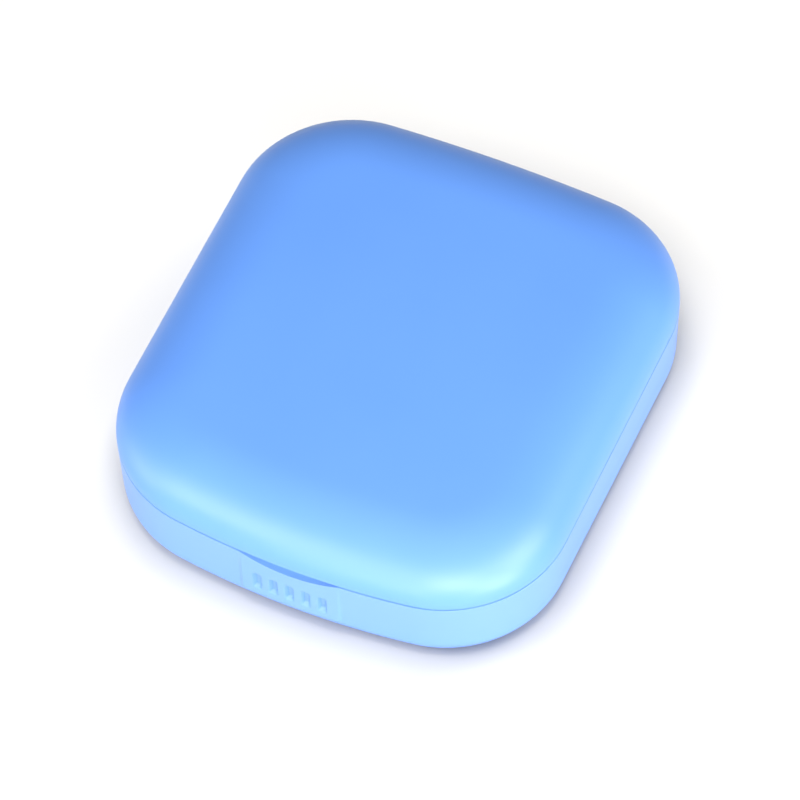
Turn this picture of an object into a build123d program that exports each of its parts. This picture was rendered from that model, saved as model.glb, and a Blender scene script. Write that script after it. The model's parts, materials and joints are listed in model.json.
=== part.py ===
from build123d import *
import os
from math import sqrt

os.makedirs("parts", exist_ok=True)

# A travel case for contact lenses: a clamshell with a mirror in its lid, and in its base a tray that holds
# a screw-cap lens holder, a solution bottle, tweezers and a suction stick.
# X runs across, Y from the front (-) to the hinge at the back (+), Z up. Millimetres.
# The origin is on the flat underside, below the middle of the case. Everything stands as it is when closed.

# ---------------------------------------------------------------------------------------------------------
# Driving dimensions
# ---------------------------------------------------------------------------------------------------------

# The case
case_width = 65.0
case_depth = 72.0
case_height = 20.0
front_bow_radius = 124.0
back_bow_radius = 303.0
front_corner_radius = 17.6
back_corner_radius = 16.8
seam_height = 12.7
seam_gap = 0.3
rim_bevel = 0.3

# The lid
lid_draft = 8.4
lid_edge_round = 7.2
lid_crown_radius = 1000.0
lid_wall = 1.7
lid_ceiling = 18.2
lid_inside_round = 6.0

# The base
base_inset = 0.05
base_draft = 2.0
base_edge_round = 3.8
base_wall = 1.85
base_floor = 1.6
base_inside_round = 0.8

# The lip on the base that the lid closes over, and the bead on it that the lid snaps past
lip_inset = 1.05
lip_height = 1.2
lip_clearance = 0.15
lip_back_end = 26.0
bead_radius = 0.3
bead_groove_radius = 0.42
bead_length = 10.0

# The thumb scoop in the base's rim, and the grip pad below it
scoop_width = 15.0
scoop_drop = 1.4
scoop_depth = 1.0
pad_width = 14.6
pad_bottom = 3.2
pad_round = 0.6
grip_count = 5
grip_pitch = 2.4
grip_width = 1.0
grip_depth = 0.6
grip_bottom = 5.3
grip_top = 8.3

# The hinge
hinge_y = 34.3
knuckle_radius = 1.45
knuckle_gap = 0.2
knuckle_clearance = 0.2
middle_knuckle_end = 5.0
lid_knuckle_end = 12.0
base_knuckle_end = 18.6
pin_radius = 0.6
pin_running_clearance = 0.05
pin_end = 17.6
hinge_block_front = 31.2
hinge_block_end = 24.0
bracket_bottom = 8.5

# The notch in the lid's back edge: it is lower at its ends, where the case is less deep behind the hinge
notch_front = 32.5
notch_end = 22.8
notch_end_height = 1.0
notch_shoulder = 19.8
notch_shoulder_height = 2.0
notch_middle = 12.0
notch_height = 2.85

# The mirror in the lid
frame_outer_inset = 7.8
frame_inner_inset = 10.0
glass_inset = 8.8
glass_thickness = 1.0
tape_thickness = 0.25
tape_inset = 11.5
frame_lip = 0.45

# The tray
tray_inset = 2.25
tray_back = 31.2
tray_bottom = 1.65
tray_wall = 1.0
deck_top = 10.4
tool_pocket_floor = 5.2
rest_gap = 0.05
tweezer_pocket = (-3.4, 5.4, -30.0, 29.4)
stick_pocket = (6.4, 12.6, -26.0, 26.0)
bottle_pocket = (14.5, 27.9, -23.6, 25.2)
tool_pocket_corner = 2.0
bottle_pocket_corner = 3.4
finger_notch_width = 14.0
finger_notch_depth = 4.2

# The lens holder and its two caps
holder_x = -16.6
well_y = {"left": -16.2, "right": 11.4}
well_radius = 8.8
well_wall = 1.2
well_floor = 1.2
well_round = 4.0
well_rim = 12.6
well_foot_round = 1.2
well_rim_round = 0.3
bridge_round = 0.8
holder_bridge_width = 9.0
holder_bridge_bottom = 7.4
holder_bridge_top = 9.6
holder_pocket_clearance = 0.3
cap_radius = 11.6
cap_bottom = 10.9
cap_top = 14.8
cap_roof = 1.3
cap_bore_radius = 10.5
cap_edge_round = 0.9
cap_rib_count = 36
cap_rib_radius = 0.35
seal_thickness = 0.8
seal_radius = 9.9
seal_ring_outer = 8.6
seal_ring_inner = 7.8
seal_ring_depth = 0.7
seal_ring_round = 0.2
mark_height = 5.0
mark_proportion = 0.7
mark_stroke = 0.9
mark_relief = 0.25

# The bottle
bottle_x = 21.2
bottle_radius = 6.5
bottle_wall = 0.9
bottle_edge_round = 2.4
bottle_start = -23.0
bottle_shoulder = 8.0
neck_start = 10.6
neck_end = 16.0
neck_radius = 4.1
neck_bore_radius = 3.2
nozzle_flange = 0.8
nozzle_tip_end = 20.4
nozzle_tip_radius = 1.7
nozzle_end_radius = 1.0
nozzle_hole_radius = 0.35
bottle_cap_start = 11.0
bottle_cap_end = 23.0
bottle_cap_radius = 5.5
bottle_cap_bore_radius = 4.6
bottle_cap_well_radius = 2.3
bottle_cap_rib_count = 20
bottle_cap_rib_radius = 0.3
liner_thickness = 0.6
liner_gap = 0.05

# The tweezers
tweezer_x = 1.0
tweezer_height = 3.6
tweezer_tail_back = 28.4
tweezer_tail_front = 24.0
tweezer_arm_front = -22.0
tweezer_tip_front = -28.0
tweezer_tip_back = -19.0
tweezer_thickness = 1.3
tweezer_opening = 2.3
tweezer_joint_gap = 0.1
tip_wall = 0.5
tip_toe = 0.15
tip_round = 0.4
arm_rib_count = 5
arm_rib_back = 6.0
arm_rib_pitch = 1.4
arm_rib_radius = 0.25

# The suction stick
stick_x = 9.5
stick_radius = 2.0
stick_back = 24.0
stick_front = -14.0
stick_grip_count = 6
stick_grip_pitch = 1.6
stick_groove_radius = 0.35
stick_end_round = 0.8
stick_peg_radius = 1.2
stick_peg_front = -18.0
suction_back = -14.0
suction_throat = -20.5
suction_throat_radius = 0.9
suction_lip = 0.4
suction_waist_radius = 1.9
suction_cup_radius = 2.8
suction_front = -25.0

half_width = case_width / 2
half_depth = case_depth / 2
base_top = seam_height - seam_gap / 2
lid_bottom = seam_height + seam_gap / 2
hinge_plane = Plane(origin=(0, hinge_y, seam_height), x_dir=(0, 1, 0), z_dir=(1, 0, 0))


# ---------------------------------------------------------------------------------------------------------
# Shapes that several pieces share
# ---------------------------------------------------------------------------------------------------------


def plan_outline(inset):
    """The plan of the case, drawn in by inset: bowed front and back, straight sides and round corners."""
    front_y = -half_depth + front_bow_radius - sqrt(front_bow_radius**2 - half_width**2)
    back_y = half_depth - back_bow_radius + sqrt(back_bow_radius**2 - half_width**2)
    with BuildSketch() as outline:
        with BuildLine():
            front = ThreePointArc((-half_width, front_y), (0, -half_depth), (half_width, front_y))
            right = Line(front @ 1, (half_width, back_y))
            back = ThreePointArc(right @ 1, (0, half_depth), (-half_width, back_y))
            Line(back @ 1, front @ 0)
        make_face()
        fillet(outline.vertices().group_by(Axis.Y)[0], front_corner_radius)
        fillet(outline.vertices().group_by(Axis.Y)[-1], back_corner_radius)
        if inset:
            offset(amount=-inset)
    return outline.sketch


def pocket_outline(x_low, x_high, y_low, y_high, corner, grow):
    """A rectangular pocket with round corners, grown all round by grow."""
    middle = ((x_low + x_high) / 2, (y_low + y_high) / 2)
    with BuildSketch() as outline:
        with Locations(middle):
            RectangleRounded(x_high - x_low + 2 * grow, y_high - y_low + 2 * grow, corner + grow)
    return outline.sketch


def holder_outline(grow):
    """The plan of the lens holder, two round wells and the bridge between them, grown all round by grow."""
    radius = well_radius + well_wall + grow
    with BuildSketch() as outline:
        for y in well_y.values():
            with Locations((holder_x, y)):
                Circle(radius)
        with Locations((holder_x, (well_y["left"] + well_y["right"]) / 2)):
            Rectangle(holder_bridge_width + 2 * grow, well_y["right"] - well_y["left"])
    return outline.sketch


def knuckles(spans, radius):
    """Hinge barrels of this radius along the hinge axis, one for each span of X."""
    with BuildPart() as barrels:
        for start, end in spans:
            with BuildSketch(hinge_plane.offset(start)):
                Circle(radius)
            extrude(amount=end - start)
    return barrels.part


def both_sides(start, end):
    """A span of X and its mirror image."""
    return [(start, end), (-end, -start)]


base_knuckle_spans = [(-middle_knuckle_end, middle_knuckle_end)]
base_knuckle_spans += both_sides(lid_knuckle_end + knuckle_gap, base_knuckle_end)
lid_knuckle_spans = both_sides(middle_knuckle_end + knuckle_gap, lid_knuckle_end)

lid_plan = plan_outline(0)
lid_inside_plan = plan_outline(lid_wall)
base_plan = plan_outline(base_inset)
base_inside_plan = plan_outline(base_inset + base_wall)
lip_plan = plan_outline(lip_inset)
rebate_plan = plan_outline(lip_inset - lip_clearance)

# ---------------------------------------------------------------------------------------------------------
# Base shell
# ---------------------------------------------------------------------------------------------------------

with BuildPart() as base_cavity:
    with BuildSketch(Plane.XY.offset(base_floor)):
        add(base_inside_plan)
    extrude(amount=seam_height + lip_height - base_floor)
    fillet(base_cavity.faces().sort_by(Axis.Z)[0].edges(), base_inside_round)

with BuildPart() as grip_pad:
    with BuildSketch(Plane.XY.offset(pad_bottom)):
        add(lid_plan)
        with Locations((0, -half_depth)):
            Rectangle(pad_width, base_wall * 2, mode=Mode.INTERSECT)
    extrude(amount=base_top - pad_bottom)
    pad_front = grip_pad.faces().sort_by(Axis.Y)[0]
    fillet(pad_front.edges().sort_by(Axis.Z)[0:1], pad_round)

with BuildPart() as base_knuckles:
    add(knuckles(base_knuckle_spans, knuckle_radius))
    for start, end in base_knuckle_spans:
        with BuildSketch(hinge_plane.offset(start)):
            with BuildLine():
                Polyline(
                    (-knuckle_radius, 0),
                    (knuckle_radius, 0),
                    (knuckle_radius, bracket_bottom - seam_height),
                    (half_depth - hinge_y - base_wall, bracket_bottom - seam_height),
                    (-knuckle_radius, -knuckle_radius),
                    close=True,
                )
            make_face()
        extrude(amount=end - start)
    with BuildSketch(Plane.XY):
        add(base_plan)
    extrude(amount=case_height, mode=Mode.INTERSECT)

with BuildPart() as base_lip:
    with BuildSketch(Plane.XY.offset(base_top)):
        add(lip_plan)
        add(base_inside_plan, mode=Mode.SUBTRACT)
        with Locations((0, half_depth)):
            Rectangle(case_width, 2 * (half_depth - lip_back_end), mode=Mode.SUBTRACT)
    extrude(amount=lip_height)
    with BuildSketch(Plane.YZ.offset(-bead_length / 2)):
        with Locations((lip_inset - half_depth, base_top + lip_height / 2)):
            Circle(bead_radius)
    extrude(amount=bead_length)

with BuildPart() as base_shell:
    with BuildSketch(Plane.XY.offset(base_top)):
        add(base_plan)
    extrude(amount=-base_top, taper=base_draft)
    fillet(base_shell.faces().sort_by(Axis.Z)[0].edges(), base_edge_round)
    chamfer(base_shell.faces().sort_by(Axis.Z)[-1].edges(), rim_bevel)
    add(grip_pad.part)
    # the thumb scoop, a crescent ledge cut into the rim under the lid's edge
    with BuildSketch(Plane.XZ.offset(half_depth - scoop_depth)):
        with BuildLine():
            scoop_end = scoop_width / 2
            curve = ThreePointArc(
                (-scoop_end, seam_height), (0, seam_height - scoop_drop), (scoop_end, seam_height)
            )
            Line(curve @ 1, curve @ 0)
        make_face()
    extrude(amount=2 * scoop_depth, mode=Mode.SUBTRACT)
    add(base_cavity.part, mode=Mode.SUBTRACT)
    # the upright grip grooves in the pad
    with BuildSketch(Plane.XZ.offset(half_depth - grip_depth)):
        with Locations((0, (grip_bottom + grip_top) / 2)):
            with GridLocations(grip_pitch, 0, grip_count, 1):
                SlotOverall(grip_top - grip_bottom, grip_width, rotation=90)
    extrude(amount=2 * grip_depth, mode=Mode.SUBTRACT)
    # room behind the rim for the lid's knuckles
    for start, end in lid_knuckle_spans:
        with BuildSketch(hinge_plane.offset(start - knuckle_gap)):
            Circle(knuckle_radius + knuckle_clearance)
            with Locations((half_depth - hinge_y, 0)):
                Rectangle(2 * (half_depth - hinge_y), 2 * knuckle_radius)
        extrude(amount=end - start + 2 * knuckle_gap, mode=Mode.SUBTRACT)
    add(base_knuckles.part)
    add(base_lip.part)
    # the hole for the pin, open at the right so that the pin can be pressed in
    with BuildSketch(hinge_plane.offset(-pin_end)):
        Circle(pin_radius)
    extrude(amount=pin_end + base_knuckle_end, mode=Mode.SUBTRACT)

base_shell.part.label = "base_shell"
export_step(base_shell.part, "parts/base_shell.step")

with BuildPart() as hinge_pin:
    with BuildSketch(hinge_plane.offset(-pin_end)):
        Circle(pin_radius)
    extrude(amount=2 * pin_end)
    chamfer(hinge_pin.edges().filter_by(GeomType.CIRCLE), pin_radius / 5)

hinge_pin.part.label = "hinge_pin"
export_step(hinge_pin.part, "parts/hinge_pin.step")

# ---------------------------------------------------------------------------------------------------------
# Lid shell
# ---------------------------------------------------------------------------------------------------------

with BuildPart() as lid_cavity:
    with BuildSketch(Plane.XY.offset(lid_bottom)):
        add(lid_inside_plan)
    extrude(amount=lid_ceiling - lid_bottom, taper=lid_draft)
    fillet(lid_cavity.faces().sort_by(Axis.Z)[-1].edges(), lid_inside_round)
    # a thick block is left along the hinge
    with BuildSketch(Plane.XY):
        with Locations((0, half_depth)):
            Rectangle(2 * hinge_block_end, 2 * (half_depth - hinge_block_front))
    extrude(amount=case_height, mode=Mode.SUBTRACT)

with BuildPart() as lid_knuckles:
    add(knuckles(lid_knuckle_spans, knuckle_radius))
    for start, end in lid_knuckle_spans:
        with BuildSketch(hinge_plane.offset(start)):
            with Locations(((hinge_block_front - hinge_y) / 2, knuckle_radius / 2)):
                Rectangle(hinge_y - hinge_block_front, knuckle_radius)
        extrude(amount=end - start)
    for start, end in lid_knuckle_spans:
        with BuildSketch(hinge_plane.offset(start)):
            Circle(pin_radius + pin_running_clearance)
        extrude(amount=end - start, mode=Mode.SUBTRACT)

with BuildPart() as lid_shell:
    with BuildSketch(Plane.XY.offset(lid_bottom)):
        add(lid_plan)
    extrude(amount=case_height - lid_bottom, taper=lid_draft)
    with Locations((0, 0, case_height - lid_crown_radius)):
        Sphere(lid_crown_radius, rotation=(90, 0, 0), mode=Mode.INTERSECT)
    fillet(lid_shell.faces().sort_by(Axis.Z)[-1].edges(), lid_edge_round)
    chamfer(lid_shell.faces().sort_by(Axis.Z)[0].edges(), rim_bevel)
    add(lid_cavity.part, mode=Mode.SUBTRACT)
    # the rebate that closes over the base's lip
    with BuildSketch(Plane.XY.offset(lid_bottom)):
        add(rebate_plan)
        with Locations((0, half_depth)):
            Rectangle(case_width, 2 * (half_depth - lip_back_end - lip_clearance), mode=Mode.SUBTRACT)
    extrude(amount=lip_height + lip_clearance, mode=Mode.SUBTRACT)
    with BuildSketch(Plane.YZ.offset(-bead_length / 2 - lip_clearance)):
        with Locations((lip_inset - half_depth, base_top + lip_height / 2)):
            Circle(bead_groove_radius)
    extrude(amount=bead_length + 2 * lip_clearance, mode=Mode.SUBTRACT)
    # the notch in the back wall that the hinge shows through, which lets the lid swing past upright
    with BuildSketch(Plane.XZ.offset(-case_depth)):
        with BuildLine():
            Polyline(
                (-notch_end, lid_bottom - notch_end_height),
                (notch_end, lid_bottom - notch_end_height),
                (notch_end, lid_bottom + notch_end_height),
                (notch_shoulder, lid_bottom + notch_shoulder_height),
                (notch_middle, lid_bottom + notch_height),
                (-notch_middle, lid_bottom + notch_height),
                (-notch_shoulder, lid_bottom + notch_shoulder_height),
                (-notch_end, lid_bottom + notch_end_height),
                close=True,
            )
        make_face()
    extrude(amount=case_depth - notch_front, mode=Mode.SUBTRACT)
    add(lid_knuckles.part)

lid_shell.part.label = "lid_shell"
export_step(lid_shell.part, "parts/lid_shell.step")

# ---------------------------------------------------------------------------------------------------------
# Mirror, its frame and the tape behind it
# ---------------------------------------------------------------------------------------------------------

glass_top = lid_ceiling - tape_thickness
glass_bottom = glass_top - glass_thickness

with BuildPart() as mirror_tape:
    with BuildSketch(Plane.XY.offset(glass_top)):
        add(plan_outline(tape_inset))
    extrude(amount=tape_thickness)

mirror_tape.part.label = "mirror_tape"
export_step(mirror_tape.part, "parts/mirror_tape.step")

with BuildPart() as mirror_glass:
    with BuildSketch(Plane.XY.offset(glass_bottom)):
        add(plan_outline(glass_inset))
    extrude(amount=glass_thickness)
    chamfer(mirror_glass.faces().sort_by(Axis.Z)[0].edges(), glass_thickness / 4)

mirror_glass.part.label = "mirror_glass"
export_step(mirror_glass.part, "parts/mirror_glass.step")

with BuildPart() as mirror_frame:
    with BuildSketch(Plane.XY.offset(glass_bottom - frame_lip)):
        add(plan_outline(frame_outer_inset))
    extrude(amount=lid_ceiling - glass_bottom + frame_lip)
    with BuildSketch(Plane.XY.offset(glass_bottom)):
        add(plan_outline(glass_inset - rest_gap))
    extrude(amount=lid_ceiling - glass_bottom, mode=Mode.SUBTRACT)
    with BuildSketch(Plane.XY.offset(glass_bottom - frame_lip)):
        add(plan_outline(frame_inner_inset))
    extrude(amount=frame_lip, mode=Mode.SUBTRACT)
    fillet(mirror_frame.faces().sort_by(Axis.Z)[0].edges(), frame_lip / 2)

mirror_frame.part.label = "mirror_frame"
export_step(mirror_frame.part, "parts/mirror_frame.step")

# ---------------------------------------------------------------------------------------------------------
# Tray
# ---------------------------------------------------------------------------------------------------------

# each pocket: a function of how much its outline grows, and the height of its floor
pockets = [
    (lambda grow: holder_outline(holder_pocket_clearance + grow), tray_bottom + tray_wall),
    (lambda grow: pocket_outline(*tweezer_pocket, tool_pocket_corner, grow), tool_pocket_floor),
    (lambda grow: pocket_outline(*stick_pocket, tool_pocket_corner, grow), tool_pocket_floor),
    (lambda grow: pocket_outline(*bottle_pocket, bottle_pocket_corner, grow), tray_bottom + tray_wall),
]

with BuildPart() as inner_tray:
    with BuildSketch(Plane.XY.offset(deck_top - tray_wall)):
        add(plan_outline(tray_inset))
        with Locations((0, half_depth)):
            Rectangle(case_width, 2 * (half_depth - tray_back), mode=Mode.SUBTRACT)
    extrude(amount=tray_wall)
    for outline, floor in pockets:
        with BuildSketch(Plane.XY.offset(floor - tray_wall)):
            add(outline(tray_wall))
        extrude(amount=deck_top - floor + tray_wall)
    for outline, floor in pockets:
        with BuildSketch(Plane.XY.offset(floor)):
            add(outline(0))
        extrude(amount=deck_top - floor, mode=Mode.SUBTRACT)
    # a dip across the tweezers and the stick, so that fingertips can lift them
    with BuildSketch(Plane.XZ.offset(-finger_notch_width / 2)):
        notch_x = (tweezer_pocket[0] + stick_pocket[1]) / 2
        with Locations((notch_x, deck_top)):
            RectangleRounded(
                stick_pocket[1] - tweezer_pocket[0], 2 * finger_notch_depth, tool_pocket_corner
            )
    extrude(amount=finger_notch_width, mode=Mode.SUBTRACT)

inner_tray.part.label = "inner_tray"
export_step(inner_tray.part, "parts/inner_tray.step")

# ---------------------------------------------------------------------------------------------------------
# Lens holder, its seals and its caps
# ---------------------------------------------------------------------------------------------------------

holder_bottom = tray_bottom + tray_wall + rest_gap
well_bottom = holder_bottom + well_floor

with BuildPart() as lens_holder:
    with BuildSketch(Plane.XY.offset(holder_bridge_bottom)):
        with Locations((holder_x, (well_y["left"] + well_y["right"]) / 2)):
            Rectangle(holder_bridge_width, well_y["right"] - well_y["left"])
    extrude(amount=holder_bridge_top - holder_bridge_bottom)
    fillet(lens_holder.edges().filter_by(Axis.Y), bridge_round)
    with BuildSketch(Plane.XY.offset(holder_bottom)):
        for y in well_y.values():
            with Locations((holder_x, y)):
                Circle(well_radius + well_wall)
    extrude(amount=well_rim - holder_bottom)
    fillet(lens_holder.faces().group_by(Axis.Z)[0].edges(), well_foot_round)
    for y in well_y.values():
        with BuildSketch(Plane.XZ.offset(-y)):
            with BuildLine():
                floor_end = (holder_x + well_radius - well_round, well_bottom)
                floor_line = Line((holder_x, well_bottom), floor_end)
                bowl = JernArc(floor_line @ 1, (1, 0), well_round, 90)
                Polyline(
                    bowl @ 1, (holder_x + well_radius, well_rim), (holder_x, well_rim), floor_line @ 0
                )
            make_face()
        revolve(axis=Axis((holder_x, y, 0), (0, 0, 1)), mode=Mode.SUBTRACT)
    fillet(lens_holder.faces().group_by(Axis.Z)[-1].edges(), well_rim_round)

lens_holder.part.label = "lens_holder"
export_step(lens_holder.part, "parts/lens_holder.step")


def well_seal(y):
    """A soft disc under a cap, with a ring below it that plugs the mouth of the well."""
    seal_bottom = well_rim + rest_gap
    with BuildPart() as seal:
        with BuildSketch(Plane.XY.offset(seal_bottom)):
            with Locations((holder_x, y)):
                Circle(seal_radius)
        extrude(amount=seal_thickness)
        with BuildSketch(Plane.XY.offset(seal_bottom - seal_ring_depth)):
            with Locations((holder_x, y)):
                Circle(seal_ring_outer)
                Circle(seal_ring_inner, mode=Mode.SUBTRACT)
        extrude(amount=seal_ring_depth)
        fillet(seal.faces().sort_by(Axis.Z)[0].edges(), seal_ring_round)
    return seal.part


def mark_l():
    """The letter L in plain strokes, centred on the origin."""
    width = mark_height * mark_proportion
    with BuildSketch() as mark:
        with Locations(((mark_stroke - width) / 2, 0)):
            Rectangle(mark_stroke, mark_height)
        with Locations((0, (mark_stroke - mark_height) / 2)):
            Rectangle(width, mark_stroke)
    return mark.sketch


def mark_r():
    """The letter R in plain strokes, centred on the origin."""
    width = mark_height * mark_proportion
    bowl_radius = mark_height / 4 + mark_stroke / 4
    bowl_y = mark_height / 2 - bowl_radius
    bowl_x = width / 2 - bowl_radius
    with BuildSketch() as mark:
        with Locations(((mark_stroke - width) / 2, 0)):
            Rectangle(mark_stroke, mark_height)
        with Locations((bowl_x, bowl_y)):
            Circle(bowl_radius)
        with Locations((bowl_x - width / 4 + mark_stroke / 4, bowl_y)):
            Rectangle(width / 2 + mark_stroke / 2, 2 * bowl_radius)
        with Locations((bowl_x, bowl_y)):
            Circle(bowl_radius - mark_stroke, mode=Mode.SUBTRACT)
        with Locations((bowl_x - mark_stroke / 2, bowl_y)):
            Rectangle(mark_stroke, 2 * (bowl_radius - mark_stroke), mode=Mode.SUBTRACT)
        with BuildLine():
            Polyline(
                (bowl_x - mark_stroke / 2, bowl_y - bowl_radius + mark_stroke / 2),
                (bowl_x + mark_stroke * 2 / 3, bowl_y - bowl_radius + mark_stroke / 2),
                (width / 2 + mark_stroke / 4, -mark_height / 2),
                (width / 2 - mark_stroke, -mark_height / 2),
                close=True,
            )
        make_face()
    return mark.sketch


def well_cap(y, mark):
    """A ribbed screw cap with its letter standing a little proud of the top."""
    rib_turn = 360 / cap_rib_count
    with BuildPart() as cap:
        with BuildSketch(Plane.XY.offset(cap_bottom)):
            with Locations((holder_x, y)):
                Circle(cap_radius)
        extrude(amount=cap_top - cap_bottom)
        fillet(cap.faces().sort_by(Axis.Z)[-1].edges(), cap_edge_round)
        with BuildSketch(Plane.XY.offset(cap_bottom)):
            with Locations((holder_x, y)):
                with PolarLocations(cap_radius, cap_rib_count, start_angle=rib_turn / 2):
                    Circle(cap_rib_radius)
        extrude(amount=cap_top - cap_edge_round - cap_bottom, mode=Mode.SUBTRACT)
        with BuildSketch(Plane.XY.offset(cap_bottom)):
            with Locations((holder_x, y)):
                Circle(cap_bore_radius)
        extrude(amount=cap_top - cap_roof - cap_bottom, mode=Mode.SUBTRACT)
        with BuildSketch(Plane.XY.offset(cap_top)):
            with Locations((holder_x, y)):
                add(mark)
        extrude(amount=mark_relief)
    return cap.part


well_marks = {"left": mark_l(), "right": mark_r()}

for side, y in well_y.items():
    seal_part = well_seal(y)
    seal_part.label = f"{side}_seal"
    export_step(seal_part, f"parts/{side}_seal.step")
    cap_part = well_cap(y, well_marks[side])
    cap_part.label = f"{side}_cap"
    export_step(cap_part, f"parts/{side}_cap.step")

# ---------------------------------------------------------------------------------------------------------
# Solution bottle: it lies along Y, and each piece is turned about its axis
# ---------------------------------------------------------------------------------------------------------

bottle_z = tray_bottom + tray_wall + rest_gap + bottle_radius
bottle_axis = Axis((bottle_x, 0, bottle_z), (0, 1, 0))
# a sketch here has Y along the bottle and X out from its axis
bottle_plane = Plane(origin=(bottle_x, 0, bottle_z), x_dir=(1, 0, 0), z_dir=(0, 0, 1))

with BuildPart() as bottle_body:
    with BuildSketch(bottle_plane):
        with BuildLine():
            Polyline(
                (0, bottle_start),
                (bottle_radius, bottle_start),
                (bottle_radius, bottle_shoulder),
                (neck_radius, neck_start),
                (neck_radius, neck_end),
                (0, neck_end),
                close=True,
            )
        make_face()
    revolve(axis=bottle_axis)
    bottle_edges = bottle_body.edges().filter_by(GeomType.CIRCLE).sort_by(Axis.Y)
    fillet(bottle_edges[0:2], bottle_edge_round)
    with BuildSketch(bottle_plane):
        with BuildLine():
            Polyline(
                (0, bottle_start + bottle_wall),
                (bottle_radius - bottle_wall, bottle_start + bottle_wall),
                (bottle_radius - bottle_wall, bottle_shoulder - bottle_wall / 2),
                (neck_bore_radius, neck_start),
                (neck_bore_radius, neck_end),
                (0, neck_end),
                close=True,
            )
        make_face()
    revolve(axis=bottle_axis, mode=Mode.SUBTRACT)

bottle_body.part.label = "bottle_body"
export_step(bottle_body.part, "parts/bottle_body.step")

with BuildPart() as bottle_nozzle:
    with BuildSketch(bottle_plane):
        with BuildLine():
            Polyline(
                (nozzle_hole_radius, neck_start),
                (neck_bore_radius, neck_start),
                (neck_bore_radius, neck_end),
                (neck_radius, neck_end),
                (neck_radius, neck_end + nozzle_flange),
                (nozzle_tip_radius, neck_end + nozzle_flange),
                (nozzle_end_radius, nozzle_tip_end),
                (nozzle_hole_radius, nozzle_tip_end),
                close=True,
            )
        make_face()
    revolve(axis=bottle_axis)

bottle_nozzle.part.label = "bottle_nozzle"
export_step(bottle_nozzle.part, "parts/bottle_nozzle.step")

liner_start = neck_end + nozzle_flange + liner_gap
liner_end = liner_start + liner_thickness

with BuildPart() as bottle_liner:
    with BuildSketch(bottle_plane):
        with Locations(((bottle_cap_well_radius + neck_radius) / 2, (liner_start + liner_end) / 2)):
            Rectangle(neck_radius - bottle_cap_well_radius, liner_thickness)
    revolve(axis=bottle_axis)

bottle_liner.part.label = "bottle_liner"
export_step(bottle_liner.part, "parts/bottle_liner.step")

with BuildPart() as bottle_cap:
    with BuildSketch(bottle_plane):
        with BuildLine():
            Polyline(
                (0, bottle_cap_start),
                (bottle_cap_radius, bottle_cap_start),
                (bottle_cap_radius, bottle_cap_end),
                (0, bottle_cap_end),
                close=True,
            )
        make_face()
    revolve(axis=bottle_axis)
    fillet(bottle_cap.edges().filter_by(GeomType.CIRCLE).sort_by(Axis.Y)[-1:], cap_edge_round)
    with BuildSketch(Plane(origin=(bottle_x, bottle_cap_start, bottle_z), z_dir=(0, 1, 0))):
        with PolarLocations(bottle_cap_radius, bottle_cap_rib_count):
            Circle(bottle_cap_rib_radius)
    extrude(amount=bottle_cap_end - cap_edge_round - bottle_cap_start, mode=Mode.SUBTRACT)
    with BuildSketch(bottle_plane):
        with BuildLine():
            Polyline(
                (0, bottle_cap_start),
                (bottle_cap_bore_radius, bottle_cap_start),
                (bottle_cap_bore_radius, liner_end + liner_gap),
                (bottle_cap_well_radius, liner_end + liner_gap),
                (bottle_cap_well_radius, nozzle_tip_end + 2 * liner_thickness),
                (0, nozzle_tip_end + 2 * liner_thickness),
                close=True,
            )
        make_face()
    revolve(axis=bottle_axis, mode=Mode.SUBTRACT)

bottle_cap.part.label = "bottle_cap"
export_step(bottle_cap.part, "parts/bottle_cap.step")

# ---------------------------------------------------------------------------------------------------------
# Tweezers: a tail block, and two arms that close on it, each with a soft tip
# ---------------------------------------------------------------------------------------------------------

tool_bottom = tool_pocket_floor + rest_gap
arm_bottom = tool_bottom + tip_wall

with BuildPart() as tweezer_tail:
    with BuildSketch(Plane.XY.offset(arm_bottom)):
        with Locations((tweezer_x, (tweezer_tail_back + tweezer_tail_front + tweezer_joint_gap) / 2)):
            Rectangle(
                2 * tweezer_thickness + tweezer_joint_gap,
                tweezer_tail_back - tweezer_tail_front - tweezer_joint_gap,
            )
    extrude(amount=tweezer_height)
    fillet(tweezer_tail.faces().sort_by(Axis.Y)[-1].edges().filter_by(Axis.Z), tweezer_thickness)

tweezer_tail.part.label = "tweezer_tail"
export_step(tweezer_tail.part, "parts/tweezer_tail.step")


def arm_x(y):
    """Where the inner face of the right arm is at y, with the tweezers open."""
    along = (tweezer_tail_front - y) / (tweezer_tail_front - tweezer_arm_front)
    return tweezer_x + tweezer_joint_gap / 2 + tweezer_opening * along


with BuildPart() as right_arm:
    with BuildSketch(Plane.XY.offset(arm_bottom)):
        with BuildLine():
            Polyline(
                (arm_x(tweezer_tail_front), tweezer_tail_front),
                (arm_x(tweezer_arm_front), tweezer_arm_front),
                (arm_x(tweezer_arm_front) + tweezer_thickness / 2, tweezer_arm_front),
                (arm_x(tweezer_tip_back) + tweezer_thickness, tweezer_tip_back),
                (arm_x(tweezer_tail_front) + tweezer_thickness, tweezer_tail_front),
                close=True,
            )
        make_face()
    extrude(amount=tweezer_height)
    # shallow ribs where the fingers press
    with BuildSketch(Plane.XY.offset(arm_bottom)):
        for rib in range(arm_rib_count):
            rib_y = arm_rib_back - rib * arm_rib_pitch
            with Locations((arm_x(rib_y) + tweezer_thickness, rib_y)):
                Circle(arm_rib_radius)
    extrude(amount=tweezer_height)

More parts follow.
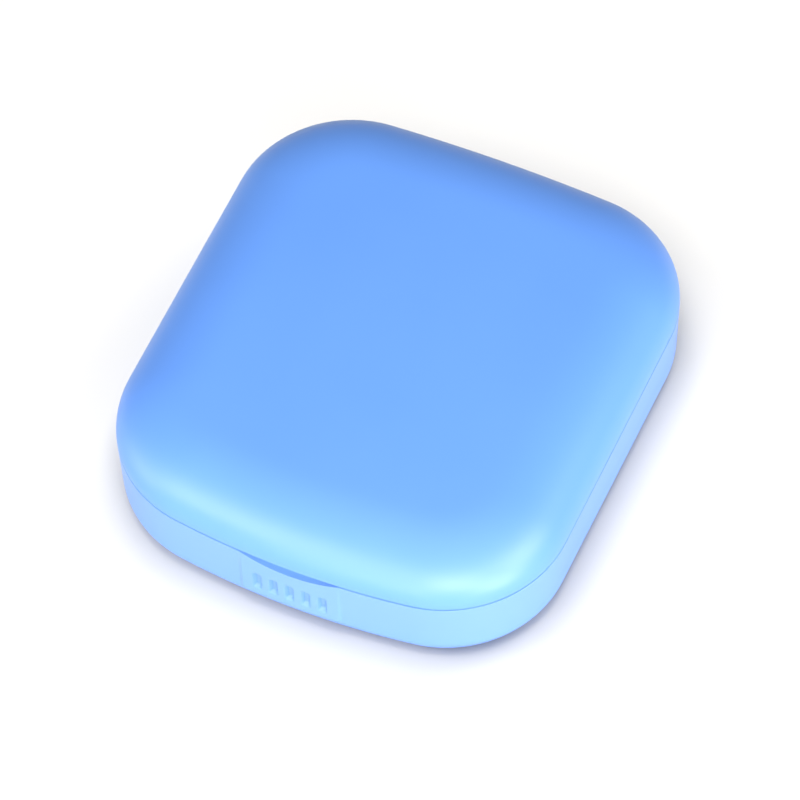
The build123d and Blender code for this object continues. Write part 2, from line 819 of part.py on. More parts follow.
with BuildPart() as right_tip:
    with BuildSketch(Plane.XY.offset(tool_bottom)):
        with BuildLine():
            Polyline(
                (arm_x(tweezer_tip_back) - tip_wall, tweezer_tip_back),
                (arm_x(tweezer_tip_back) + tweezer_thickness + tip_wall, tweezer_tip_back),
                (arm_x(tweezer_tip_front) + tweezer_thickness / 2, tweezer_tip_front),
                (arm_x(tweezer_tip_front) - tip_wall - tip_toe, tweezer_tip_front),
                close=True,
            )
        make_face()
    extrude(amount=tweezer_height + 2 * tip_wall)
    fillet(right_tip.edges().filter_by(Axis.Z), tip_round)
    add(right_arm.part, mode=Mode.SUBTRACT)

with BuildPart() as left_arm:
    mirror(right_arm.part, about=Plane.YZ.offset(tweezer_x))

with BuildPart() as left_tip:
    mirror(right_tip.part, about=Plane.YZ.offset(tweezer_x))

for name, piece in {
    "tweezer_arm_right": right_arm.part,
    "tweezer_tip_right": right_tip.part,
    "tweezer_arm_left": left_arm.part,
    "tweezer_tip_left": left_tip.part,
}.items():
    piece.label = name
    export_step(piece, f"parts/{name}.step")

# ---------------------------------------------------------------------------------------------------------
# Suction stick: it lies along Y beside the tweezers, with its soft cup to the front
# ---------------------------------------------------------------------------------------------------------

stick_z = tool_bottom + suction_cup_radius
stick_axis = Axis((stick_x, 0, stick_z), (0, 1, 0))
stick_plane = Plane(origin=(stick_x, 0, stick_z), x_dir=(1, 0, 0), z_dir=(0, 0, 1))

with BuildPart() as stick_handle:
    with BuildSketch(stick_plane):
        with BuildLine():
            Polyline(
                (0, stick_peg_front),
                (stick_peg_radius, stick_peg_front),
                (stick_peg_radius, stick_front),
                (stick_radius, stick_front),
                (stick_radius, stick_back),
                (0, stick_back),
                close=True,
            )
        make_face()
        # ring grooves for the fingers
        for groove in range(stick_grip_count):
            with Locations((stick_radius, stick_front + (groove + 2) * stick_grip_pitch)):
                Circle(stick_groove_radius, mode=Mode.SUBTRACT)
    revolve(axis=stick_axis)
    fillet(stick_handle.faces().sort_by(Axis.Y)[-1].edges(), stick_end_round)

stick_handle.part.label = "stick_handle"
export_step(stick_handle.part, "parts/stick_handle.step")

with BuildPart() as suction_tip:
    with BuildSketch(stick_plane):
        with BuildLine():
            throat = Line((0, suction_throat), (suction_throat_radius, suction_throat))
            cup = Spline(
                throat @ 1,
                (suction_cup_radius - suction_lip, suction_front),
                tangents=((0, -1), (1, -1)),
            )
            lip = Line(cup @ 1, (suction_cup_radius, suction_front))
            flare = Spline(
                lip @ 1,
                (suction_waist_radius, (suction_front + suction_back) / 2),
                tangents=((-1, 2), (0, 1)),
            )
            Polyline(
                flare @ 1,
                (suction_waist_radius, suction_back - rest_gap),
                (stick_peg_radius, suction_back - rest_gap),
                (stick_peg_radius, stick_peg_front),
                (0, stick_peg_front),
                throat @ 0,
            )
        make_face()
    revolve(axis=stick_axis)

suction_tip.part.label = "suction_tip"
export_step(suction_tip.part, "parts/suction_tip.step")
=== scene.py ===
import bpy
import json
from math import atan2, cos, pi, radians, sin, sqrt, tan
from mathutils import Matrix, Vector


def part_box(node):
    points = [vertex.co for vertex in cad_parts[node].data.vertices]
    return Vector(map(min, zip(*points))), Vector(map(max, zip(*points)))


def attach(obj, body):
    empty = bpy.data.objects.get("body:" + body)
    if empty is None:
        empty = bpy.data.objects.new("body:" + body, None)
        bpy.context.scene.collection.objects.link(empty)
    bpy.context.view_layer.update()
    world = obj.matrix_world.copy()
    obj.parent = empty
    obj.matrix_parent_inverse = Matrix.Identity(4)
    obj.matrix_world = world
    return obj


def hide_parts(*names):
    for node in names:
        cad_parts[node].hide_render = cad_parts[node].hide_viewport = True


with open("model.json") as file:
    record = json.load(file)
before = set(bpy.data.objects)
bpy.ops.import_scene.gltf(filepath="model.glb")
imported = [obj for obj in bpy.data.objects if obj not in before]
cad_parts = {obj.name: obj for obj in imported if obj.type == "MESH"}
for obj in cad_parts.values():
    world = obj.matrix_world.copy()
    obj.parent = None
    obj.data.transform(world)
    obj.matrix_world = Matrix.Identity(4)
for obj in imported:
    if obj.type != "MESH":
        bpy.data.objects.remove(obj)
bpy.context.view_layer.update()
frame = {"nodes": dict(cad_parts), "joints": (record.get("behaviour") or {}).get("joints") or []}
nodes = frame["nodes"]
scene = bpy.context.scene
mm = 0.001

# ---------------------------------------------------------------------------------------------------------
# Sizes of the case, in millimetres: the CAD design's, less hundredths that keep each shell inside its box
# ---------------------------------------------------------------------------------------------------------

hinge = next(joint for joint in frame["joints"] if joint["name"] == "lid_hinge")
half_width = 32.5
half_depth = 36.0
case_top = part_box("lid_shell")[1].z / mm
front_bow = 124.0
back_bow = 303.0
front_corner = 17.6
back_corner = 16.8
seam = hinge["pos_m"][2] / mm
# wider, with crisper rims, than the CAD design's, so that the parting line shows
seam_gap = 0.42
base_top = seam - seam_gap / 2
lid_bottom = seam + seam_gap / 2
rim_round = 0.08

# the lid's pillow edge: how far it reaches in from the outline, how full it is, and the dome of the top
pillow_reach = 11.5
pillow_power = 2.2
crown_radius = 1000.0
lid_wall = 1.7
lid_ceiling = 18.2
lid_draft = radians(8.4)
lid_inside_round = 6.0
lid_inset = 0.04

base_inset = 0.065
base_draft = radians(2.0)
base_edge_round = 3.8
base_wall = 1.85
base_floor = 1.6
base_inside_round = 0.8

lip_inset = 1.05
lip_height = 1.2
lip_clearance = 0.15
lip_back_end = 26.0
bead_radius = 0.3
bead_groove_radius = 0.42
bead_half = 5.0

scoop_half = 7.5
scoop_drop = 1.4
scoop_depth = 1.0
pad_half = 7.3
pad_bottom = 3.2
pad_proud = 0.02
pad_side_blend = 0.3
# the outer wall is meshed finely, and shaped, only this far from the middle and this near the front
fine_half = 8.7
relief_half = 8.6
relief_back = -30.0
grip_count = 5
grip_pitch = 2.4
grip_half = 0.5
grip_depth = 0.55
grip_bottom = 5.3
grip_top = 8.3
grip_side_blend = 0.22
end_blend = 0.45

hinge_y = hinge["pos_m"][1] / mm
knuckle_radius = 1.45
knuckle_gap = 0.2
knuckle_clearance = 0.2
middle_knuckle_end = 5.0
lid_knuckle_end = 12.0
base_knuckle_end = 18.6
pin_radius = 0.6
pin_running_clearance = 0.05
pin_end = 17.6
hinge_block_front = 31.2
hinge_block_end = 24.0
bracket_bottom = 8.5
bracket_step = 0.4
web_overlap = 0.3
# cutters reach past the case: this far to the sides and back, and this high
clear_beyond = 40.0
clear_above = 30.0
# how far parts that are joined on stay inside the surface they meet
hair = 0.01
notch_front = 32.5
notch_profile = [(22.8, 1.0), (19.8, 2.0), (12.0, 2.85)]

# ---------------------------------------------------------------------------------------------------------
# Camera: a long lens at the photograph's angle
# ---------------------------------------------------------------------------------------------------------

view_azimuth = radians(26.3)
view_elevation = radians(56.4)
view_roll = radians(-2.5)
view_distance = 0.9
view_lens = 293.0
view_sensor = 36.0
# how far the camera is slid in its own plane, so that the case sits where it does in the picture
view_slide_right = 0.0
view_slide_up = 0.0023


def make_camera():
    """Looks at the origin, rolls a little, and is then slid so that the case sits in the picture."""
    back = Vector(
        (
            sin(view_azimuth) * cos(view_elevation),
            -cos(view_azimuth) * cos(view_elevation),
            sin(view_elevation),
        )
    )
    level_right = Vector((cos(view_azimuth), sin(view_azimuth), 0.0))
    level_up = back.cross(level_right)
    right = level_right * cos(view_roll) + level_up * sin(view_roll)
    up = level_up * cos(view_roll) - level_right * sin(view_roll)
    data = bpy.data.cameras.new("camera")
    data.lens = view_lens
    data.sensor_width = view_sensor
    data.clip_start = 0.01
    data.clip_end = 20.0
    camera = bpy.data.objects.new("camera", data)
    scene.collection.objects.link(camera)
    place = back * view_distance + right * view_slide_right + up * view_slide_up
    camera.matrix_world = Matrix.Translation(place) @ Matrix((right, up, back)).transposed().to_4x4()
    scene.camera = camera


# ---------------------------------------------------------------------------------------------------------
# Floor and light
# ---------------------------------------------------------------------------------------------------------


# soft square lights round the case: name, azimuth from the front towards the right, elevation, power in watts
# and what it lights: the case or the floor
light_size = 0.3
light_distance = 0.6
softboxes = [
    ("case_front_right", 30, 38, 2.41, "case"),
    ("case_front_left", 330, 38, 1.48, "case"),
    ("case_right", 90, 38, 1.87, "case"),
    ("case_low_left", 300, 12, 0.98, "case"),
    ("case_low_front", 0, 12, 0.95, "case"),
    ("case_low_right", 60, 12, 2.2, "case"),
    ("case_top", 0, 90, 0.3, "case"),
    ("floor_top", 0, 90, 3.0, "floor"),
    ("floor_front", 0, 65, 1.5, "floor"),
    ("floor_front_right", 30, 38, 1.0, "floor"),
    ("floor_left", 300, 38, 1.0, "floor"),
    ("floor_back_right", 150, 12, 3.3, "floor"),
]
surround_strength = 0.2
floor_colour = (0.61, 0.6, 0.58, 1)


def make_floor():
    """A plain sheet of pale paper under the case."""
    half = 4.0
    corners = [(-half, -half, 0), (half, -half, 0), (half, half, 0), (-half, half, 0)]
    mesh = bpy.data.meshes.new("floor")
    mesh.from_pydata(corners, [], [(0, 1, 2, 3)])
    floor = bpy.data.objects.new("floor", mesh)
    scene.collection.objects.link(floor)
    paper = bpy.data.materials.new("floor_paper")
    paper.use_nodes = True
    shader = paper.node_tree.nodes["Principled BSDF"]
    shader.inputs["Base Color"].default_value = floor_colour
    shader.inputs["Roughness"].default_value = 0.9
    shader.inputs["Specular IOR Level"].default_value = 0.1
    floor.data.materials.append(paper)
    return floor


def make_studio():
    """The floor, an even pale surround, and soft lights that the camera doesn't see."""
    floor = make_floor()
    world = bpy.data.worlds.new("surround")
    scene.world = world
    world.use_nodes = True
    background = world.node_tree.nodes["Background"]
    background.inputs["Color"].default_value = (1.0, 1.0, 1.0, 1)
    background.inputs["Strength"].default_value = surround_strength
    # a light for the floor alone is linked to it, and a light for the case alone leaves it out
    receivers = {}
    for lit, state in (("floor", "INCLUDE"), ("case", "EXCLUDE")):
        receivers[lit] = bpy.data.collections.new("lit_" + lit)
        receivers[lit].objects.link(floor)
        receivers[lit].collection_objects[0].light_linking.link_state = state
    for name, azimuth, elevation, power, lit in softboxes:
        data = bpy.data.lights.new(name, "AREA")
        data.shape = "SQUARE"
        data.size = light_size
        data.energy = power
        light = bpy.data.objects.new(name, data)
        turn, rise = radians(azimuth), radians(elevation)
        towards = Vector((sin(turn) * cos(rise), -cos(turn) * cos(rise), sin(rise)))
        light.location = towards * light_distance
        light.rotation_euler = towards.to_track_quat("Z", "Y").to_euler()
        light.visible_camera = False
        scene.collection.objects.link(light)
        light.light_linking.receiver_collection = receivers[lit]


# ---------------------------------------------------------------------------------------------------------
# Mesh building: every solid here is a stack of rings round the case's plan
# ---------------------------------------------------------------------------------------------------------


def spread(start, end, steps):
    """Evenly spaced values from start to end, both included."""
    return [start + (end - start) * step / steps for step in range(steps + 1)]


def plan_columns():
    """Points round the case's outline, each with its inward normal: ((x, y), (nx, ny)), counter-clockwise."""
    side = half_width
    front_centre = -half_depth + front_bow
    back_centre = half_depth - back_bow
    front_x = side - front_corner
    front_y = front_centre - sqrt((front_bow - front_corner) ** 2 - front_x**2)
    back_x = side - back_corner
    back_y = back_centre + sqrt((back_bow - back_corner) ** 2 - back_x**2)
    front_turn = atan2(front_x, front_centre - front_y)
    back_turn = atan2(back_x, back_y - back_centre)
    relief_turn = fine_half / front_bow
    columns = []

    def arc(x, y, radius, turns):
        for turn in turns:
            nx, ny = -sin(turn), cos(turn)
            columns.append(((x - radius * nx, y - radius * ny), (nx, ny)))

    # turn is the angle of the outward normal from the front, towards the right
    arc(0, front_centre, front_bow, spread(-relief_turn, relief_turn, 116)[:-1])
    arc(0, front_centre, front_bow, spread(relief_turn, front_turn, 10)[:-1])
    arc(front_x, front_y, front_corner, spread(front_turn, pi / 2, 30)[:-1])
    for y in spread(front_y, back_y, 20)[:-1]:
        columns.append(((side, y), (-1.0, 0.0)))
    arc(back_x, back_y, back_corner, spread(pi / 2, pi - back_turn, 30)[:-1])
    arc(0, back_centre, back_bow, spread(pi - back_turn, pi + back_turn, 36)[:-1])
    arc(-back_x, back_y, back_corner, spread(pi + back_turn, 3 * pi / 2, 30)[:-1])
    for y in spread(back_y, front_y, 20)[:-1]:
        columns.append(((-side, y), (1.0, 0.0)))
    arc(-front_x, front_y, front_corner, spread(3 * pi / 2, 2 * pi - front_turn, 30)[:-1])
    arc(0, front_centre, front_bow, spread(-front_turn, -relief_turn, 10)[:-1])
    return columns


columns = plan_columns()


def plan_ring(inset, z):
    """The outline drawn in by inset, at one height."""
    return [(px + nx * inset, py + ny * inset, z) for (px, py), (nx, ny) in columns]


def mesh_object(name, vertices, faces):
    """A new object from vertices in millimetres."""
    mesh = bpy.data.meshes.new(name)
    mesh.from_pydata([(x * mm, y * mm, z * mm) for x, y, z in vertices], [], faces)
    mesh.validate()
    made = bpy.data.objects.new(name, mesh)
    scene.collection.objects.link(made)
    return made


def ring_solid(name, rings, top_pole=None):
    """A closed solid from rings of points, lowest first, with a flat bottom and a flat or a domed top."""
    count = len(rings[0])
    vertices = [point for ring in rings for point in ring]
    faces = []
    for level in range(len(rings) - 1):
        low = level * count
        for step in range(count):
            after = (step + 1) % count
            faces.append((low + step, low + after, low + count + after, low + count + step))
    faces.append(tuple(reversed(range(count))))
    last = (len(rings) - 1) * count
    if top_pole is None:
        faces.append(tuple(range(last, last + count)))
    else:
        vertices.append(top_pole)
        for step in range(count):
            faces.append((last + step, last + (step + 1) % count, len(vertices) - 1))
    return mesh_object(name, vertices, faces)


def prism(name, inset, bottom, top, round_top=0.0):
    """The outline drawn in by inset, from bottom to top, with a small round along its upper edge."""
    rings = [plan_ring(inset, bottom)]
    for turn in spread(0, pi / 2, 3):
        rings.append(plan_ring(inset + round_top * (1 - cos(turn)), top - round_top * (1 - sin(turn))))
        if not round_top:
            break
    if not round_top:
        rings[-1] = plan_ring(inset, top)
    return ring_solid(name, rings)


def block(name, x, y, z):
    """A box from three (low, high) pairs."""
    corners = [(x[i], y[j], z[k]) for k in (0, 1) for j in (0, 1) for i in (0, 1)]
    faces = [(0, 2, 3, 1), (4, 5, 7, 6), (0, 1, 5, 4), (2, 6, 7, 3), (0, 4, 6, 2), (1, 3, 7, 5)]
    return mesh_object(name, corners, faces)


def bar(name, section, start, end):
    """A bar along X from its (y, z) section, listed counter-clockwise seen from +X."""
    count = len(section)
    vertices = [(x, y, z) for x in (start, end) for y, z in section]
    faces = [tuple(reversed(range(count))), tuple(range(count, 2 * count))]
    for step in range(count):
        after = (step + 1) % count
        faces.append((step, after, count + after, count + step))
    return mesh_object(name, vertices, faces)


def plate(name, outline, start, end):
    """A flat plate along Y from its (x, z) outline, listed counter-clockwise seen from the front."""
    count = len(outline)
    vertices = [(x, y, z) for y in (start, end) for x, z in outline]
    faces = [tuple(range(count)), tuple(reversed(range(count, 2 * count)))]
    for step in range(count):
        after = (step + 1) % count
        faces.append((after, step, count + step, count + after))
    return mesh_object(name, vertices, faces)


def round_section(y, z, radius, sides=48):
    """A circle in the (y, z) plane."""
    turns = [2 * pi * step / sides for step in range(sides)]
    return [(y + radius * cos(turn), z + radius * sin(turn)) for turn in turns]


def combine(target, tool, operation):
    """Cuts, joins or trims target by tool, then deletes the tool."""
    modifier = target.modifiers.new("combine", "BOOLEAN")
    modifier.operation = operation
    modifier.solver = "EXACT"
    modifier.object = tool
    bpy.context.view_layer.update()
    graph = bpy.context.evaluated_depsgraph_get()
    result = bpy.data.meshes.new_from_object(target.evaluated_get(graph))
    target.modifiers.clear()
    old = target.data
    target.data = result
    bpy.data.meshes.remove(old)
    bpy.data.objects.remove(tool)


def finish_piece(piece, body, node, material, sharp=radians(32)):
    """Smooths a piece's shading, paints it, and lets it stand for its CAD node."""
    piece.data.shade_smooth()
    piece.data.set_sharp_from_angle(angle=sharp)
    piece.data.materials.clear()
    piece.data.materials.append(material)
    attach(piece, body)
    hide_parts(node)
    return piece


def behind(y):
    """A block that takes away everything behind y."""
    return block("behind", (-clear_beyond, clear_beyond), (y, clear_beyond), (0, clear_above))


def both_sides(start, end):
    """A span along X and its mirror image."""
    return [(start, end), (-end, -start)]


lid_knuckle_spans = both_sides(middle_knuckle_end + knuckle_gap, lid_knuckle_end)
base_knuckle_spans = [(-middle_knuckle_end, middle_knuckle_end)]
base_knuckle_spans += both_sides(lid_knuckle_end + knuckle_gap, base_knuckle_end)

# ---------------------------------------------------------------------------------------------------------
# Lid
# ---------------------------------------------------------------------------------------------------------


def crown_height(x, y):
    """How high the domed top of the case is over a point of its plan."""
    return case_top - (x * x + y * y) / (2 * crown_radius)


def lid_point(column, lean):
    """A point on the pillow edge: lean runs from 0 at the rim to 1 where the edge has become the top."""
    (px, py), (nx, ny) = column
    turn = lean * pi / 2
    inset = lid_inset + pillow_reach * (1 - cos(turn) ** (2 / pillow_power))
    x, y = px + nx * inset, py + ny * inset
    rise = sin(turn) ** (2 / pillow_power)
    return x, y, lid_bottom + (crown_height(x, y) - lid_bottom) * rise


def lid_outside():
    """The pillow-shaped outer solid of the lid."""
    rings = []
    for turn in spread(0, pi / 3, 2):
        inset = lid_inset + rim_round * (1 - sin(turn))
        rings.append(plan_ring(inset, lid_bottom + rim_round * (1 - cos(turn))))
    for lean in spread(0.025, 1.0, 44):
        ring = [lid_point(column, lean) for column in columns]
        if min(point[2] for point in ring) > lid_bottom + rim_round:
            rings.append(ring)
    edge = rings[-1]
    for share in spread(1.0, 0.0, 14)[1:-1]:
        rings.append([(x * share, y * share, crown_height(x * share, y * share)) for x, y, _ in edge])
    return ring_solid("lid_shell_moulding", rings, top_pole=(0, 0, case_top))


def lid_inside():
    """The hollow of the lid, with a round ceiling edge and without the block along the hinge."""
    centre_z = lid_ceiling - lid_inside_round
    side_inset = lid_wall + (centre_z - lid_bottom) * tan(lid_draft)
    centre_inset = side_inset + lid_inside_round / cos(lid_draft)
    rings = [plan_ring(lid_wall, lid_bottom - 1), plan_ring(lid_wall, lid_bottom - 0.5)]
    for turn in spread(lid_draft, pi / 2, 14):
        inset = centre_inset - lid_inside_round * cos(turn)
        z = centre_z + lid_inside_round * sin(turn)
        if z > lid_bottom:
            rings.append(plan_ring(inset, z))
    hollow = ring_solid("lid_hollow", rings)
    along = (-hinge_block_end, hinge_block_end)
    hinge_block = block("hinge_block", along, (hinge_block_front, clear_beyond), (0, case_top + 1))
    combine(hollow, hinge_block, "DIFFERENCE")
    return hollow


def make_lid(material):
    """The lid: its hollow, the rebate for the base's lip, the bead's groove, the back notch and two knuckles."""
    lid = lid_outside()
    combine(lid, lid_inside(), "DIFFERENCE")
    rebate_top = lid_bottom + lip_height + lip_clearance
    rebate = prism("rebate", lip_inset - lip_clearance, lid_bottom - 1, rebate_top)
    combine(rebate, behind(lip_back_end + lip_clearance), "DIFFERENCE")
    combine(lid, rebate, "DIFFERENCE")
    groove = round_section(lip_inset - half_depth, base_top + lip_height / 2, bead_groove_radius)
    combine(lid, bar("groove", groove, -bead_half - lip_clearance, bead_half + lip_clearance), "DIFFERENCE")
    # the notch along the back, cut by a flat plate with a sloped outline
    right = [(x, lid_bottom + rise) for x, rise in notch_profile]
    left = [(-x, z) for x, z in reversed(right)]
    foot = [(-notch_profile[0][0], lid_bottom - 1), (notch_profile[0][0], lid_bottom - 1)]
    combine(lid, plate("notch", foot + right + left, notch_front, clear_beyond), "DIFFERENCE")
    for start, end in lid_knuckle_spans:
        web = [
            (hinge_block_front + web_overlap, lid_bottom),
            (hinge_y, lid_bottom),
            (hinge_y, seam + knuckle_radius - hair),
            (hinge_block_front + web_overlap, seam + knuckle_radius - hair),
        ]
        knuckle = bar("knuckle", round_section(hinge_y, seam, knuckle_radius), start, end)
        combine(knuckle, bar("web", web, start, end), "UNION")
        hole = round_section(hinge_y, seam, pin_radius + pin_running_clearance, 32)
        combine(knuckle, bar("hole", hole, start - 1, end + 1), "DIFFERENCE")
        combine(lid, knuckle, "UNION")
    return finish_piece(lid, "lid", "lid_shell", material)


# ---------------------------------------------------------------------------------------------------------
# Base
# ---------------------------------------------------------------------------------------------------------


def ease(value):
    """A smooth step from 0 to 1 as value goes from -1 to 1."""
    share = min(1.0, max(0.0, (value + 1) / 2))
    return share * share * (3 - 2 * share)


def relief(point):
    """Moves a point of the base's outer wall to make the grip pad and its grooves."""
    x, y, z = point
    if y > relief_back or abs(x) > relief_half:
        return point
    flush = -half_depth + front_bow - sqrt(front_bow**2 - x * x) + pad_proud
    share = ease((pad_half - abs(x)) / pad_side_blend)
    share *= ease((z - pad_bottom - pad_side_blend) / end_blend)
    y += min(0.0, flush - y) * share
    nearest = round(x / grip_pitch) * grip_pitch
    if abs(nearest) <= grip_pitch * (grip_count - 1) / 2 + hair:
        groove = ease((grip_half - abs(x - nearest)) / grip_side_blend)
        groove *= ease((z - grip_bottom) / end_blend) * ease((grip_top - z) / end_blend)
        y += grip_depth * groove
    return x, y, z


def base_outside():
    """The outer solid of the base: a flat bottom, a round edge and a slightly leaning wall."""
    lean = tan(base_draft)
    centre_z = base_edge_round
    centre_inset = base_inset + (base_top - centre_z) * lean + base_edge_round / cos(base_draft)
    rings = []
    for turn in spread(0, pi / 2 - base_draft, 30):
        z = centre_z - base_edge_round * cos(turn)
        rings.append(plan_ring(centre_inset - base_edge_round * sin(turn), z))
    for z in spread(rings[-1][0][2], base_top - rim_round, 60)[1:]:
        rings.append(plan_ring(base_inset + (base_top - z) * lean, z))
    for turn in spread(0, pi / 2, 3)[1:]:
        inset = base_inset + rim_round * (1 - cos(turn))
        rings.append(plan_ring(inset, base_top - rim_round * (1 - sin(turn))))
    return ring_solid("base_shell_moulding", [[relief(point) for point in ring] for ring in rings])


def base_inside():
    """The hollow of the base, with a round floor edge."""
    inset = base_inset + base_wall
    rings = []
    for turn in spread(0, pi / 2, 6):
        z = base_floor + base_inside_round * (1 - cos(turn))
        rings.append(plan_ring(inset + base_inside_round * (1 - sin(turn)), z))
    rings.append(plan_ring(inset, seam + 3))
    return ring_solid("base_hollow", rings)


def make_base(material):
    """The base: its scoop, lip, bead and hollow, and three knuckles on brackets with room for the lid's two."""
    base = base_outside()
    # the thumb scoop, a crescent ledge under the lid's edge
    bow = (scoop_half**2 + scoop_drop**2) / (2 * scoop_drop)
    crescent = []
    for x in spread(-scoop_half, scoop_half, 60):
        crescent.append((x, seam - scoop_drop + bow - sqrt(bow * bow - x * x)))
    combine(base, plate("scoop", crescent, -half_depth - 1, -half_depth + scoop_depth), "DIFFERENCE")
    lip = prism("lip", lip_inset, base_top - 1, base_top + lip_height, round_top=0.2)
    combine(lip, behind(lip_back_end), "DIFFERENCE")
    bead = round_section(lip_inset - half_depth, base_top + lip_height / 2, bead_radius, 24)
    combine(lip, bar("bead", bead, -bead_half, bead_half), "UNION")
    combine(base, lip, "UNION")
    combine(base, base_inside(), "DIFFERENCE")
    for start, end in lid_knuckle_spans:
        room = round_section(hinge_y, seam, knuckle_radius + knuckle_clearance)
        combine(base, bar("room", room, start - knuckle_gap, end + knuckle_gap), "DIFFERENCE")
        low = seam - knuckle_radius
        along = (start - knuckle_gap, end + knuckle_gap)
        slot = block("slot", along, (hinge_y, clear_beyond), (low, seam + 5))
        combine(base, slot, "DIFFERENCE")
    for start, end in base_knuckle_spans:
        knuckle = bar("knuckle", round_section(hinge_y, seam, knuckle_radius), start, end)
        bracket = [
            (hinge_y - knuckle_radius, seam),
            (hinge_y - knuckle_radius, seam - knuckle_radius),
            (half_depth - base_wall, bracket_bottom),
            (hinge_y + knuckle_radius - bracket_step, bracket_bottom),
            (hinge_y + knuckle_radius - bracket_step, seam),
        ]
        combine(knuckle, bar("bracket", bracket, start, end), "UNION")
        trim = prism("trim", base_inset + 2 * hair, 0, case_top)
        combine(knuckle, trim, "INTERSECT")
        combine(base, knuckle, "UNION")
    hole = round_section(hinge_y, seam, pin_radius, 32)
    combine(base, bar("hole", hole, -pin_end, base_knuckle_end + 1), "DIFFERENCE")
    return finish_piece(base, "base", "base_shell", material)


# ---------------------------------------------------------------------------------------------------------
# Materials
# ---------------------------------------------------------------------------------------------------------


def new_material(name):
    """A material, its node tree and its shader."""
    material = bpy.data.materials.new(name)
    material.use_nodes = True
    tree = material.node_tree
    return material, tree, tree.nodes["Principled BSDF"]


def noise(tree, scale, detail, stretch=(1.0, 1.0, 1.0)):
    """Object-space noise, drawn out along an axis where its stretch is small."""
    place = tree.nodes.new("ShaderNodeTexCoord")
    mapping = tree.nodes.new("ShaderNodeMapping")
    mapping.inputs["Scale"].default_value = stretch
    tree.links.new(place.outputs["Object"], mapping.inputs["Vector"])
    texture = tree.nodes.new("ShaderNodeTexNoise")
    texture.inputs["Scale"].default_value = scale
    texture.inputs["Detail"].default_value = detail
    tree.links.new(mapping.outputs["Vector"], texture.inputs["Vector"])
    return texture


def colour_drift(tree, shader, texture, dark, light):
    """Lets the base colour wander between two close shades."""
    ramp = tree.nodes.new("ShaderNodeValToRGB")
    ramp.color_ramp.elements[0].position = 0.3
    ramp.color_ramp.elements[0].color = (*dark, 1)
    ramp.color_ramp.elements[1].position = 0.7
    ramp.color_ramp.elements[1].color = (*light, 1)
    tree.links.new(texture.outputs["Fac"], ramp.inputs["Fac"])
    tree.links.new(ramp.outputs["Color"], shader.inputs["Base Color"])


def gloss_drift(tree, shader, texture, low, high):
    """Lets the roughness wander between two values."""
    gloss = tree.nodes.new("ShaderNodeMapRange")
    gloss.inputs["To Min"].default_value = low
    gloss.inputs["To Max"].default_value = high
    tree.links.new(texture.outputs["Fac"], gloss.inputs["Value"])
    tree.links.new(gloss.outputs["Result"], shader.inputs["Roughness"])


def grain_bump(tree, shader, texture, strength):
    """A surface grain too fine to be worth modelling."""
    bump = tree.nodes.new("ShaderNodeBump")
    bump.inputs["Strength"].default_value = strength
    bump.inputs["Distance"].default_value = 0.0001
    tree.links.new(texture.outputs["Fac"], bump.inputs["Height"])
    tree.links.new(bump.outputs["Normal"], shader.inputs["Normal"])


def moulded_plastic(name, dark, light, roughness, grain=0.02, specular=0.5):
    """Satin moulded plastic: a faint drift in its colour, uneven gloss and a fine spark-eroded grain."""
    material, tree, shader = new_material(name)
    shader.inputs["Specular IOR Level"].default_value = specular
    drift = noise(tree, 45.0, 3.0)
    colour_drift(tree, shader, drift, dark, light)
    gloss_drift(tree, shader, drift, roughness - 0.04, roughness + 0.04)
    grain_bump(tree, shader, noise(tree, 3500.0, 2.0), grain)
    return material


def clear_plastic(name, dark, light, roughness, clearness):
    """Milky see-through plastic: some light passes, and the surface is finely uneven."""
    material, tree, shader = new_material(name)
    drift = noise(tree, 120.0, 2.0)
    colour_drift(tree, shader, drift, dark, light)
    gloss_drift(tree, shader, drift, roughness - 0.05, roughness + 0.05)
    grain_bump(tree, shader, noise(tree, 3500.0, 2.0), 0.02)
    shader.inputs["Transmission Weight"].default_value = clearness
    shader.inputs["IOR"].default_value = 1.45
    return material


def silicone(name, dark, light, roughness):
    """Soft silicone rubber: light sinks in a little, and the surface has a dusty, uneven sheen."""
    material, tree, shader = new_material(name)
    drift = noise(tree, 300.0, 4.0)
    colour_drift(tree, shader, drift, dark, light)
    gloss_drift(tree, shader, drift, roughness - 0.08, roughness + 0.08)
    grain_bump(tree, shader, noise(tree, 2500.0, 3.0), 0.08)
    shader.inputs["Subsurface Weight"].default_value = 0.35
    shader.inputs["Subsurface Scale"].default_value = 0.001
    shader.inputs["Subsurface Radius"].default_value = (1.0, 0.9, 0.8)
    return material


def drawn_steel(name):
    """Steel wire with fine lines along X from drawing."""
    material, tree, shader = new_material(name)
    lines = noise(tree, 6000.0, 3.0, (0.02, 1.0, 1.0))
    colour_drift(tree, shader, lines, (0.48, 0.49, 0.51), (0.66, 0.67, 0.69))
    gloss_drift(tree, shader, lines, 0.22, 0.4)
    grain_bump(tree, shader, lines, 0.1)
    shader.inputs["Metallic"].default_value = 1.0
    return material


def silvered_glass(name):
    """A mirror with a breath of haze in places."""
    material, tree, shader = new_material(name)
    haze = noise(tree, 90.0, 4.0)
    colour_drift(tree, shader, haze, (0.86, 0.89, 0.9), (0.9, 0.93, 0.94))
    gloss_drift(tree, shader, haze, 0.0, 0.05)
    shader.inputs["Metallic"].default_value = 1.0
    return material


def foam_tape(name):
    """Closed-cell foam: small bubbles, dull."""
    material, tree, shader = new_material(name)
    cells = noise(tree, 4000.0, 1.0)
    colour_drift(tree, shader, cells, (0.62, 0.62, 0.6), (0.82, 0.82, 0.79))
    gloss_drift(tree, shader, cells, 0.8, 0.95)
    grain_bump(tree, shader, cells, 0.6)
    return material


def paint(node, material):
    """Gives a CAD node's object this one material."""
    slots = nodes[node].data.materials
    slots.clear()
    slots.append(material)


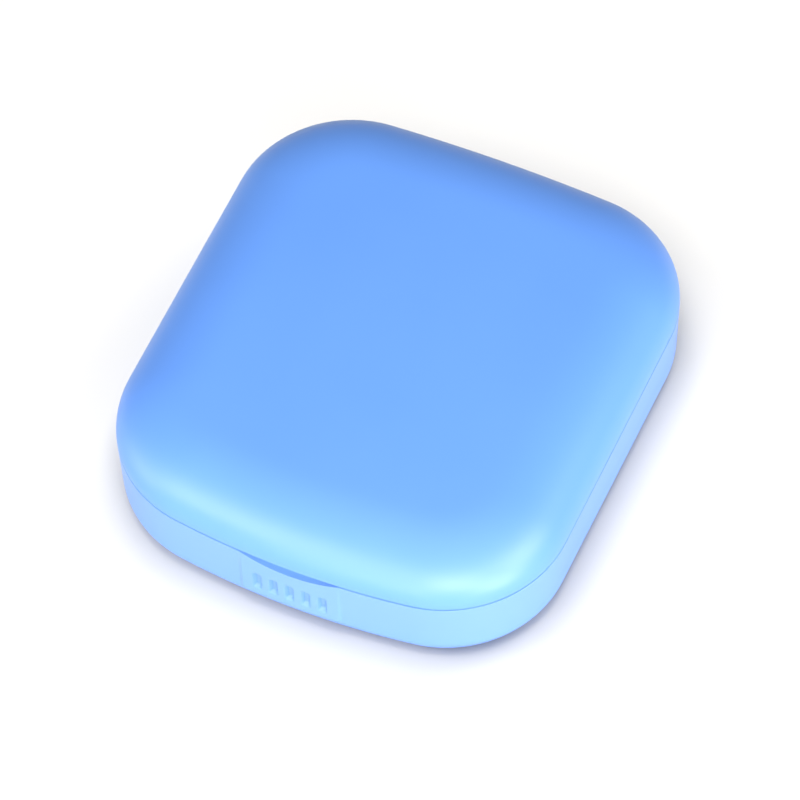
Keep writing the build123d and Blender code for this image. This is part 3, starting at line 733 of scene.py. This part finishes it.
make_camera()
make_studio()
lid_blue = moulded_plastic("lid_blue", (0.122, 0.315, 0.85), (0.128, 0.325, 0.87), 0.42, specular=0.9)
# the base is the lid's plastic painted paler: painted light standing in for how much brighter its walls are lit
base_blue_painted_lighter = moulded_plastic("base_blue_painted_lighter", (0.152, 0.33, 0.85), (0.16, 0.34, 0.87), 0.42, specular=0.9)
tray_white = moulded_plastic("tray_white", (0.5, 0.56, 0.64), (0.53, 0.59, 0.67), 0.42)
holder_white = moulded_plastic("holder_white", (0.56, 0.58, 0.61), (0.6, 0.62, 0.64), 0.34)
cap_blue = moulded_plastic("cap_blue", (0.12, 0.31, 0.8), (0.135, 0.33, 0.83), 0.34, grain=0.04)
cap_white = moulded_plastic("cap_white", (0.57, 0.59, 0.61), (0.61, 0.63, 0.65), 0.34, grain=0.04)
tool_blue = moulded_plastic("tool_blue", (0.16, 0.39, 0.8), (0.18, 0.42, 0.83), 0.28, grain=0.01)
bottle_clear = clear_plastic("bottle_clear", (0.62, 0.74, 0.84), (0.68, 0.79, 0.88), 0.34, 0.4)
nozzle_clear = clear_plastic("nozzle_clear", (0.6, 0.65, 0.7), (0.65, 0.7, 0.74), 0.3, 0.2)
seal_silicone = silicone("seal_silicone", (0.5, 0.54, 0.58), (0.55, 0.59, 0.62), 0.45)
tip_silicone = silicone("tip_silicone", (0.56, 0.59, 0.62), (0.61, 0.64, 0.66), 0.4)
finishes = {
    tray_white: ["inner_tray", "mirror_frame"],
    holder_white: ["lens_holder"],
    cap_blue: ["left_cap"],
    cap_white: ["right_cap", "bottle_cap"],
    seal_silicone: ["left_seal", "right_seal", "bottle_liner"],
    bottle_clear: ["bottle_body"],
    nozzle_clear: ["bottle_nozzle"],
    tool_blue: ["tweezer_tail", "tweezer_arm_left", "tweezer_arm_right", "stick_handle"],
    tip_silicone: ["tweezer_tip_left", "tweezer_tip_right", "suction_tip"],
    drawn_steel("pin_steel"): ["hinge_pin"],
    silvered_glass("mirror_glass"): ["mirror_glass"],
    foam_tape("mirror_tape"): ["mirror_tape"],
}
for material, painted in finishes.items():
    for node in painted:
        paint(node, material)
make_lid(lid_blue)
make_base(base_blue_painted_lighter)

scene.view_settings.view_transform = "Standard"
